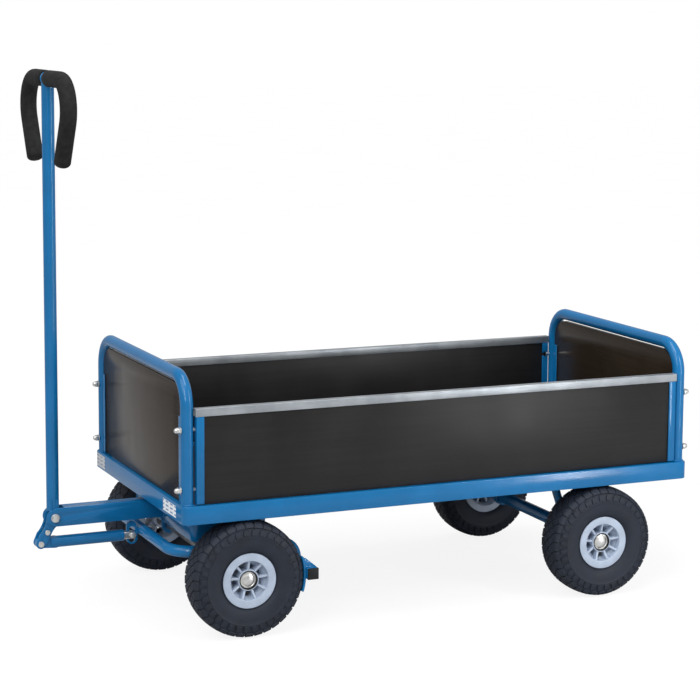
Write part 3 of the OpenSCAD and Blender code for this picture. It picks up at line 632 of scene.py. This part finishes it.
class CART_OT_tyres(bpy.types.Operator):
    """Four air tyres with a diamond tread and shoulder lugs"""
    bl_idname = "cart.tyres"
    bl_label = "Tyres"

    def execute(self, context):
        settings = context.scene.cart_tyre
        groove = settings.groove / MM
        shell = [(55, -31.5), (60, -32.6), (63.5, -33), (66, -36.2), (74, -40.3), (88, -42.4),
                 (97, -42.3), (98, -42.8), (100, -42.6), (101, -41), (110, -38.4), (116, -36),
                 (121, -34.6)]
        top = [(crown(y)[0] - groove, y) for y in (-29, -20, -10, 0, 10, 20, 29)]
        inside = [(55, 24), (72, 30), (88, 33.5), (102, 33), (114, 26), (117, 0),
                  (114, -26), (102, -33), (88, -33.5), (72, -30), (55, -24)]
        far_shell = [(r, -y) for r, y in reversed(shell)]
        parts = [lathe("carcass", shell + top + far_shell + inside, 120)]
        half_pitch = math.pi / settings.lugs
        for row in (-1, 0, 1):
            parts.append(ringed(self.diamond(settings, row * settings.column / MM), settings.lugs,
                                half_pitch if row else 0))
        for side in (-1, 1):
            parts.append(ringed(self.shoulder(side), settings.lugs))
            parts.append(ringed(self.lug(settings, side), settings.lugs, half_pitch))
        tyre = joined(parts, "tyre")
        done(tyre, 30)
        on_wheels(tyre, "tyre_tread", "tyre_rubber", "tyre")
        return {"FINISHED"}

    def diamond(self, settings, y):
        """One tread block, set into the carcass and sloped with the crown."""
        height, slope = crown(y)
        depth = settings.groove + 3 * MM
        half_round = 0.84 * math.pi * height / settings.lugs
        bpy.ops.mesh.primitive_cylinder_add(vertices=4, radius=1, depth=1, location=(0, 0, 0))
        piece = named(bpy.context.object, "diamond")
        piece.scale = (half_round * MM, settings.diamond_l / 2, depth)
        piece.rotation_euler.x = -slope
        piece.location = Vector((0, y * MM, (height - 0.2) * MM - depth / 2))
        bpy.ops.object.transform_apply(location=True, rotation=True, scale=True)
        edit(piece, "FACE")
        pick(piece, "FACE", lambda f: f.normal.z > 0.8)
        bpy.ops.mesh.bevel(offset=0.8 * MM, segments=1, affect="EDGES")
        return done(piece)

    def shoulder(self, side):
        """A block from the tread over the shoulder, drawn to a point at its inner end."""
        outline = [(13.6, 123), (13.6, 128.4), (25.2, 127.3), (31, 126), (35.6, 122.8),
                   (38, 118.2), (36.5, 116), (25.2, 119)]
        piece = profile("shoulder", outline, 18.6 * MM)
        pick(piece, "VERT", lambda v: v.co.y < 14 * MM)
        bpy.ops.transform.resize(value=(0.06, 1, 1))
        pick(piece, "EDGE", lambda e: e.verts[0].co.x * e.verts[1].co.x > 0
             and min(v.co.z for v in e.verts) > 116.5 * MM
             and max(v.co.z for v in e.verts) > 120 * MM)
        bpy.ops.mesh.bevel(offset=0.8 * MM, segments=1, affect="EDGES")
        return self.turned(piece, side)

    def lug(self, settings, side):
        """A small round-headed lug on the upper wall, under the shoulder blocks."""
        outline = [(37, 114.6), (39.5, 114.2), (41.7, 108), (42.9, 102), (42.4, 100.6), (38.5, 103)]
        piece = profile("lug", outline, settings.lug_w)
        pick(piece, "EDGE", lambda e: all(v.co.z > 113.8 * MM for v in e.verts)
             and e.verts[0].co.x * e.verts[1].co.x > 0)
        bpy.ops.mesh.bevel(offset=5.2 * MM, segments=3, affect="EDGES")
        return self.turned(piece, side)

    def turned(self, piece, side):
        bpy.ops.object.mode_set(mode="OBJECT")
        if side < 0:
            piece.data.transform(Matrix.Rotation(math.pi, 4, "Z"))
        return done(piece)


# ---------- wheels ----------
class CART_OT_wheels(bpy.types.Operator):
    """Four moulded wheels with their spokes, hub rings and valves"""
    bl_idname = "cart.wheels"
    bl_label = "Wheels"

    def execute(self, context):
        settings = context.scene.cart_wheel
        parts = [self.barrel(), self.web(settings), self.hub(settings),
                 ringed(self.spoke(settings), settings.spokes)]
        on_wheels(joined(parts, "wheel"), "spoked_wheel", "wheel_plastic", "rim")
        lip = arc(1.4, 28.6, 20, 0, 90, 4)
        seal = [(15.2, 17), (21.4, 17)] + lip + [(19, 30), (19, 24), (15.2, 24)]
        on_wheels(lathe("seal", seal, 64), "hub_seal", "black_cap")
        on_wheels(self.valve(settings), "valve", "black_cap")
        return {"FINISHED"}

    def barrel(self):
        """The drop-centre rim and its two flat flanges, one outline."""
        outer = [(54, -32.6), (48, -30), (44.5, -20), (44.5, 0), (49, 20), (54, 33)]
        flange = arc(1.5, 34.6, 59.8, -90, 0, 3)[1:] + arc(1.5, 34.8, 59.8, 0, 90, 3)
        inner = arc(2, 34.3, 45.6, 90, 180, 4) + [(42.6, 26), (41, 4), (41, -18), (44, -34)]
        back = [(45, -36.1), (60, -36.1), (61.2, -35), (61.2, -33), (60, -32.6)]
        return lathe("barrel", outer + flange + inner + back, 96)

    def web(self, settings):
        """A dished disc behind the spokes that stops short of the hub."""
        r = settings.hub_r / MM
        return lathe("web", [(42.9, 23), (38, 18.5), (r + 10, 13), (r + 9, 11.5), (r + 10, 10),
                             (38, 14.9), (42.2, 19)], 96)

    def hub(self, settings):
        r = settings.hub_r / MM
        outer = [(15.1, -36.8), (18, -36.8), (19, -36), (r - 2, -12), (r, 4), (r, 27)]
        mouth = [(21.4, 29), (21, 28), (21, 17), (15.1, 17)]
        return lathe("hub", outer + arc(1.5, 27.5, r - 1.5, 0, 90, 4) + mouth, 64)

    def spoke(self, settings):
        """A rib from the hub to the barrel, its face falling a little towards the hub."""
        low, high, waist = settings.hub_r - 2 * MM, 43.6 * MM, 30 * MM
        bpy.ops.mesh.primitive_cube_add(size=1, location=(0, 8 * MM, (low + high) / 2))
        piece = named(bpy.context.object, "spoke")
        piece.scale = (settings.spoke_t, 44 * MM, high - low)
        bpy.ops.object.transform_apply(location=True, rotation=True, scale=True)
        edit(piece, "VERT")
        pick(piece, "VERT", lambda v: v.co.y > 0 and v.co.z < waist)
        bpy.ops.transform.translate(value=(0, -3.5 * MM, 0))
        pick(piece, "VERT", lambda v: v.co.y > 0 and v.co.z > waist)
        bpy.ops.transform.translate(value=(0, 3 * MM, 0))
        pick(piece, "EDGE", lambda e: all(v.co.y > 20 * MM for v in e.verts)
             and abs(e.verts[0].co.x - e.verts[1].co.x) < MM)
        bpy.ops.mesh.bevel(offset=1.1 * MM, segments=3, affect="EDGES")
        return done(piece)

    def valve(self, settings):
        """A rubber stem with its screwed cap, in one opening, leaning outboard."""
        stem = [(0, 0), (4.2, 0), (4.2, 6), (3.2, 8), (3.2, 17), (4, 17.5), (4, 26)]
        cap = arc(1.5, 26, 2.5, 0, 90, 3) + [(0, 27.5)]
        piece = lathe("valve", stem + cap, 20, closed=False)
        lean = Matrix.Rotation(math.radians(-28), 4, "X")
        turn = Matrix.Rotation(4.5 * 2 * math.pi / settings.spokes, 4, "Y")
        piece.data.transform(turn @ Matrix.Translation((0, 0, 41 * MM)) @ lean)
        return piece


# ---------- hub caps ----------
class CART_OT_hub_caps(bpy.types.Operator):
    """Pressed steel caps with four low bosses, that hold the wheels on their axles"""
    bl_idname = "cart.hub_caps"
    bl_label = "Hub caps"

    def execute(self, context):
        brim_r, dome_r, top = 15.5, 30, 29.5
        edge = math.degrees(math.asin(brim_r / dome_r))
        dome = arc(dome_r, top - dome_r, 0, 90 - edge, 90, 8)
        brim = [(brim_r, 23.6), (18, 23.6), (18.5, 24.1), (18.5, 25.4), (18, 25.9), (16.4, 26)]
        parts = [lathe("cap", brim + dome, 64, closed=False)]
        for turn in range(4):
            bpy.ops.mesh.primitive_uv_sphere_add(
                segments=12, ring_count=6, radius=2.4 * MM, location=(0, 26.6 * MM, 9.5 * MM))
            boss = named(bpy.context.object, "boss")
            boss.scale.y = 0.55
            done(boss)
            boss.data.transform(Matrix.Rotation(turn * math.pi / 2 + 0.4, 4, "Y"))
            parts.append(boss)
        whole = joined(parts, "cap")
        done(whole)
        for end, body in (("front", "turntable"), ("rear", "frame")):
            both = [copied(whole, "cap", outboard(f"{end}_{side}")) for side in ("left", "right")]
            caps = joined(both, end + "_domed_caps")
            give(caps, "zinc_fixings", body, end + "_hub_caps")
        bpy.data.objects.remove(whole)
        return {"FINISHED"}


# ---------- grips ----------
class CART_OT_grips(bpy.types.Operator):
    """Two foam sleeves on the handle"""
    bl_idname = "cart.grips"
    bl_label = "Grips"

    def execute(self, context):
        for side, out in (("left", 1), ("right", -1)):
            low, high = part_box(side + "_grip")
            radius = size(side + "_grip").x / 2
            x, z = (low.x + high.x) / 2, high.z - radius
            # From a narrow lip at start the sleeve runs to flat, bends round turn_r and past
            # upright by lean, and goes down its leg to a rounded end.
            start, lip, lip_l, end_r = 14.6 * MM, 2.5 * MM, 2.2 * MM, 8 * MM
            flat, turn_r, lean, leg = 101 * MM, 63 * MM, math.radians(28), 102 * MM
            bpy.ops.mesh.primitive_circle_add(
                vertices=36, radius=radius - lip, location=(x, start, z),
                rotation=(math.pi / 2, 0, 0))
            piece = named(bpy.context.object, side + "_foam_grip")
            bpy.ops.object.transform_apply(location=True, rotation=True, scale=True)
            edit(piece, "EDGE")
            bpy.ops.mesh.select_all(action="SELECT")
            bpy.ops.mesh.edge_face_add()
            pick(piece, "EDGE", lambda e: True)
            half_open = 1.08
            self.step(piece, (0, 0.6 * MM, 0), half_open)
            self.step(piece, (0, lip_l - 0.6 * MM, 0), radius / (radius - lip) / half_open)
            for _ in range(4):
                self.step(piece, (0, (flat - start - lip_l) / 4, 0), 1)
            bpy.ops.mesh.spin(steps=18, angle=math.pi / 2 + lean, center=(x, flat, z - turn_r),
                              axis=(1, 0, 0))
            down = Vector((0, -math.sin(lean), -math.cos(lean)))
            for _ in range(5):
                self.step(piece, down * (leg - end_r) / 5, 1)
            before, ring = 0.0, 1.0
            for turn in (18, 36, 54, 72, 90):
                reach = end_r * math.sin(math.radians(turn))
                width = (radius - end_r + end_r * math.cos(math.radians(turn))) / radius
                self.step(piece, down * (reach - before), width / ring)
                before, ring = reach, width
            bpy.ops.mesh.edge_face_add()
            bpy.ops.mesh.select_all(action="SELECT")
            if out < 0:
                bpy.ops.transform.mirror(
                    constraint_axis=(False, True, False), center_override=(x, 0, z))
            bpy.ops.mesh.normals_make_consistent(inside=False)
            done(piece, 60)
            give(piece, "foam_grip", "drawbar", side + "_grip")
        return {"FINISHED"}

    def step(self, piece, move, scale):
        """Extrudes the open ring by move and scales it about its own centre."""
        bpy.ops.mesh.extrude_edges_move(TRANSFORM_OT_translate={"value": tuple(move)})
        if scale != 1:
            ring = [v.co for v in bmesh.from_edit_mesh(piece.data).verts if v.select]
            centre = sum(ring, Vector()) / len(ring)
            bpy.ops.transform.resize(value=(scale,) * 3, center_override=centre)


# ---------- steelwork ----------
PAINTED = ("rim_left", "rim_right", "rim_front", "rim_rear", "wall_end_channels", "panel_strips",
           "turntable_saddle", "draw_beam", "lever_plates", "cross_bar", "brake_shoes",
           "bow_guides", "rear_struts", "cross_members")


class CART_OT_steelwork(bpy.types.Operator):
    """Painted sheet and bar with its edges rounded"""
    bl_idname = "cart.steelwork"
    bl_label = "Steelwork"

    def execute(self, context):
        edge = context.scene.cart_frame.edge
        seams = (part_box("rim_front")[0].x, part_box("rim_rear")[1].x)
        for finish, width, nodes in (
                ("blue_frame", edge, PAINTED),
                ("rail_aluminium", 0.8 * MM, ("left_top_rail", "right_top_rail")),
                ("side_board", 0.8 * MM, ("left_wall", "right_wall")),
                ("end_board", 0.8 * MM, ("front_panel", "rear_panel")),
                ("zinc_fixings", 0.6 * MM,
                 ("link_clevis", "pivot_bolt", "lever_bolts", "clevis_pin")),
                ("black_cap", 0.8 * MM, ("cross_bar_caps",))):
            for node in nodes:
                piece = softened(node, width, planes=seams if node.startswith("rim_") else ())
                give(piece, finish, body_of(node), node, slot=SLOT_OF[node])
        return {"FINISHED"}


# ---------- welds ----------
class CART_OT_welds(bpy.types.Operator):
    """Weld beads where the painted tubes and plates meet"""
    bl_idname = "cart.welds"
    bl_label = "Welds"

    def execute(self, context):
        for part in (self.posts, self.beam, self.handle, self.lever):
            part(context.scene.cart_frame.bead)
        return {"FINISHED"}

    def finish(self, beads, name, body):
        give(joined(beads, name), "blue_frame", body)

    def posts(self, thick):
        """A ring round the foot of each post."""
        radius = size("front_hoop").x / 2
        for end in ("front", "rear"):
            low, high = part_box(end + "_hoop")
            feet = [Matrix.Translation(((low.x + high.x) / 2, y, low.z + 0.4 * thick))
                    for y in (low.y + radius, high.y - radius)]
            self.finish([bead("foot_bead", radius, thick, foot) for foot in feet],
                        end + "_post_welds", "frame")

    def beam(self, thick):
        """Seams up the sides and over the top of the draw beam where it meets the turntable."""
        low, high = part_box("draw_beam")
        path = [(low.x + 0.5 * thick, y, z) for y, z in (
            (high.y, low.z), (high.y, high.z), (low.y, high.z), (low.y, low.z))]
        self.finish([seam("beam_seam", start, end, thick) for start, end in zip(path, path[1:])],
                    "draw_beam_welds", "turntable")

    def handle(self, thick):
        """A ring where the handle passes through the drawbar's head."""
        radius = size("handle_bow").x / 2
        x, z = middle("drawbar_tube").x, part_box("handle_bow")[1].z - radius
        upright = Matrix.Rotation(math.pi / 2, 4, "X")
        rings = [bead("head_bead", radius, 0.9 * thick, Matrix.Translation((x, y, z)) @ upright)
                 for y in (-10.5 * MM, 10.5 * MM)]
        self.finish(rings, "handle_welds", "drawbar")

    def lever(self, thick):
        """Seams up both edges of the lever plates where they enter the drawbar's foot."""
        low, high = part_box("lever_plates")
        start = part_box("drawbar_tube")[0].z + 2 * MM
        x = middle("drawbar_tube").x
        seams = [seam("plate_seam", (edge, y, start), (edge, y, high.z), 0.7 * thick)
                 for y in (low.y + 0.3 * MM, high.y - 0.3 * MM)
                 for edge in (x - 6 * MM, x + 6 * MM)]
        self.finish(seams, "lever_welds", "drawbar")


# ---------- cap nuts ----------
class CART_OT_cap_nuts(bpy.types.Operator):
    """Washers and cap nuts on the end posts"""
    bl_idname = "cart.cap_nuts"
    bl_label = "Cap nuts"

    def execute(self, context):
        low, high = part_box("wall_nuts")
        radius, length = 8, 15
        rim = [(radius - 0.3, 0), (radius, 0.3), (radius, 1.3), (radius - 0.3, 1.6)]
        washer = lathe("washer", [(4.1, 0)] + rim + [(4.1, 1.6)], 40)
        bpy.ops.mesh.primitive_cylinder_add(
            vertices=6, radius=7.4 * MM, depth=6.4 * MM, location=(0, 4.8 * MM, 0),
            rotation=(math.pi / 2, 0, 0))
        hexagon = named(bpy.context.object, "hexagon")
        bpy.ops.object.transform_apply(location=True, rotation=True, scale=True)
        bevel(hexagon, 0.6 * MM, 2)
        done(hexagon)
        skirt = [(6.4, 7.6), (6.4, 8.2), (6, 8.6), (6, 9)]
        dome = lathe("dome", skirt + arc(6, 9, 0, 0, 90, 8), 32, closed=False)
        nut = joined([washer, hexagon, dome], "nut")
        heights = [v.co.z for v in frame["nodes"]["wall_nuts"].data.vertices]
        half = middle("wall_nuts").z
        nuts = []
        for row in ([z for z in heights if z < half], [z for z in heights if z > half]):
            level = sum(row) / len(row)
            for x, out in ((high.x, 1), (low.x, -1)):
                turn = Matrix.Rotation(-out * math.pi / 2, 4, "Z")
                for y in (low.y + radius * MM, high.y - radius * MM):
                    start = Matrix.Translation((x - out * length * MM, y, level))
                    nuts.append(copied(nut, "cap_nut", start @ turn))
        bpy.data.objects.remove(nut)
        nuts = done(joined(nuts, "cap_nuts"))
        give(nuts, "zinc_fixings", "frame", "wall_nuts")
        return {"FINISHED"}


# ---------- labels ----------
class CART_OT_labels(bpy.types.Operator):
    """Two plain labels on the front of the platform frame"""
    bl_idname = "cart.labels"
    bl_label = "Labels"

    def execute(self, context):
        low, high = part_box("rim_front")
        for name, y0, y1, z0, z1 in (
                ("sticker", high.y - 138 * MM, high.y - 52 * MM, 7 * MM, 33 * MM),
                ("type_plate", low.y + 15 * MM, low.y + 78 * MM, 5 * MM, 35 * MM)):
            piece = block(name, (high.x - 0.2 * MM, y0, low.z + z0),
                          (high.x + 0.35 * MM, y1, low.z + z1), 0.15 * MM, 1)
            give(piece, name, "frame", slot="film_board")
        return {"FINISHED"}


# ---------- carried nodes ----------
class CART_OT_node_finishes(bpy.types.Operator):
    """Gives every frame node that still shows the finish of its slot"""
    bl_idname = "cart.node_finishes"
    bl_label = "Node finishes"

    def execute(self, context):
        for name, node in frame["nodes"].items():
            slot = SLOT_OF[name]
            key = "floor_board" if slot == "film_board" else slot
            node.data.materials.clear()
            node.data.materials.append(materials()[key])
        return {"FINISHED"}


# ---------- stage ----------
class CART_OT_stage(bpy.types.Operator):
    """A pale floor, soft light and the camera"""
    bl_idname = "cart.stage"
    bl_label = "Stage"

    def execute(self, context):
        self.floor()
        self.lights()
        self.camera(context.scene.cart_stage)
        return {"FINISHED"}

    def floor(self):
        deselect()
        bpy.ops.mesh.primitive_plane_add(size=60, location=(0, 0, -0.0005))
        floor = named(bpy.context.object, "floor")
        material, tree, shader, place = started("studio_floor")
        mottle = add(tree, "ShaderNodeTexNoise", Vector=place, Scale=1 / 0.4, Detail=2)
        dress(shader, mottle, linear("#bdbdbd"), linear("#c4c4c4"), Roughness=0.9,
              Specular_IOR_Level=0.1)
        # Lit from below like a shooting table, which leaves only faint shadows on it.
        glow = add(tree, "ShaderNodeEmission", Color=(1, 1, 1, 1), Strength=1.215)
        seen = add(tree, "ShaderNodeLightPath").outputs["Is Camera Ray"]
        share = add(tree, "ShaderNodeMath", {"operation": "MULTIPLY"}, i0=seen, i1=0.72)
        both = add(tree, "ShaderNodeMixShader", i0=share, i1=shader, i2=glow)
        output = next(n for n in tree.nodes if n.type == "OUTPUT_MATERIAL")
        tree.links.new(both.outputs[0], output.inputs["Surface"])
        floor.data.materials.append(material)

    def lights(self):
        scene = bpy.context.scene
        scene.world = bpy.data.worlds.new("studio")
        scene.world.use_nodes = True
        tree = scene.world.node_tree
        tree.nodes.clear()
        seen = add(tree, "ShaderNodeLightPath").outputs["Is Camera Ray"]
        soft = add(tree, "ShaderNodeBackground", Color=(1, 1, 1, 1), Strength=0.45)
        white = add(tree, "ShaderNodeBackground", Color=(1, 1, 1, 1), Strength=1.0)
        both = add(tree, "ShaderNodeMixShader", i0=seen, i1=soft, i2=white)
        add(tree, "ShaderNodeOutputWorld", Surface=both)
        for name, strength, spread_angle, turn in (
                ("key", 1.2, 50, (-14, 36, 0)), ("fill", 0.3, 80, (-35, -10, 0))):
            data = bpy.data.lights.new(name, "SUN")
            data.energy = strength
            data.angle = math.radians(spread_angle)
            lamp = bpy.data.objects.new(name, data)
            lamp.rotation_euler = [math.radians(a) for a in turn]
            scene.collection.objects.link(lamp)
        # Softboxes: heading and height in degrees, distance, width, length, brightness.
        for name, heading, height, distance, width, length, bright in (
                ("front_box", 50, 28, 4.5, 0.5, 2.4, 12),
                ("back_strip", 124, 12, 2.4, 0.09, 2.6, 36),
                ("top_box", 80, 82, 3.4, 1.0, 2.6, 5)):
            data = bpy.data.lights.new(name, "AREA")
            data.shape = "RECTANGLE"
            data.size, data.size_y = width, length
            data.energy = bright * math.pi * width * length
            lamp = bpy.data.objects.new(name, data)
            lamp.visible_camera = False
            turn, rise = math.radians(heading), math.radians(height)
            away = Vector((math.cos(rise) * math.cos(turn), math.cos(rise) * math.sin(turn),
                           math.sin(rise)))
            aim = Vector((0, 0, 0.45))
            lamp.matrix_world = (Matrix.Translation(aim + away * distance)
                                 @ away.to_track_quat("Z", "Y").to_matrix().to_4x4())
            scene.collection.objects.link(lamp)
        scene.view_settings.view_transform = "Standard"

    def camera(self, settings):
        data = bpy.data.cameras.new("camera")
        data.sensor_width = 36
        data.lens = settings.lens
        data.shift_y = settings.rise
        camera = bpy.data.objects.new("camera", data)
        bpy.context.scene.collection.objects.link(camera)
        turn, tilt = settings.heading, settings.pitch
        ahead = Vector((math.cos(tilt) * math.cos(turn), math.cos(tilt) * math.sin(turn),
                        math.sin(tilt)))
        right = Vector((math.sin(turn), -math.cos(turn), 0))
        up = right.cross(ahead)
        c, s = math.cos(settings.roll), math.sin(settings.roll)
        right, up = right * c + up * s, up * c - right * s
        camera.matrix_world = (Matrix.Translation(settings.place)
                               @ Matrix((right, up, -ahead)).transposed().to_4x4())
        bpy.context.scene.camera = camera


STEPS = [CART_OT_node_finishes, CART_OT_steelwork, CART_OT_welds, CART_OT_tyres, CART_OT_wheels,
         CART_OT_hub_caps, CART_OT_grips, CART_OT_cap_nuts, CART_OT_labels, CART_OT_stage]
GROUPS = {"cart_tyre": CartTyreSettings, "cart_wheel": CartWheelSettings,
          "cart_frame": CartFrameSettings, "cart_stage": CartStageSettings}


class CART_PT_panel(bpy.types.Panel):
    bl_label = "Hand cart"
    bl_idname = "CART_PT_panel"
    bl_space_type = "VIEW_3D"
    bl_region_type = "UI"
    bl_category = "Cart"

    def draw(self, context):
        for step in STEPS:
            self.layout.operator(step.bl_idname)


def register():
    for group in GROUPS.values():
        bpy.utils.register_class(group)
    for name, group in GROUPS.items():
        setattr(bpy.types.Scene, name, bpy.props.PointerProperty(type=group))
    for step in STEPS + [CART_PT_panel]:
        bpy.utils.register_class(step)


def unregister():
    for step in STEPS + [CART_PT_panel]:
        bpy.utils.unregister_class(step)
    for name, group in GROUPS.items():
        delattr(bpy.types.Scene, name)
        bpy.utils.unregister_class(group)


def main():
    register()
    for step in STEPS:
        family, action = step.bl_idname.split(".")
        getattr(getattr(bpy.ops, family), action)()


if __name__ == "__main__":
    main()
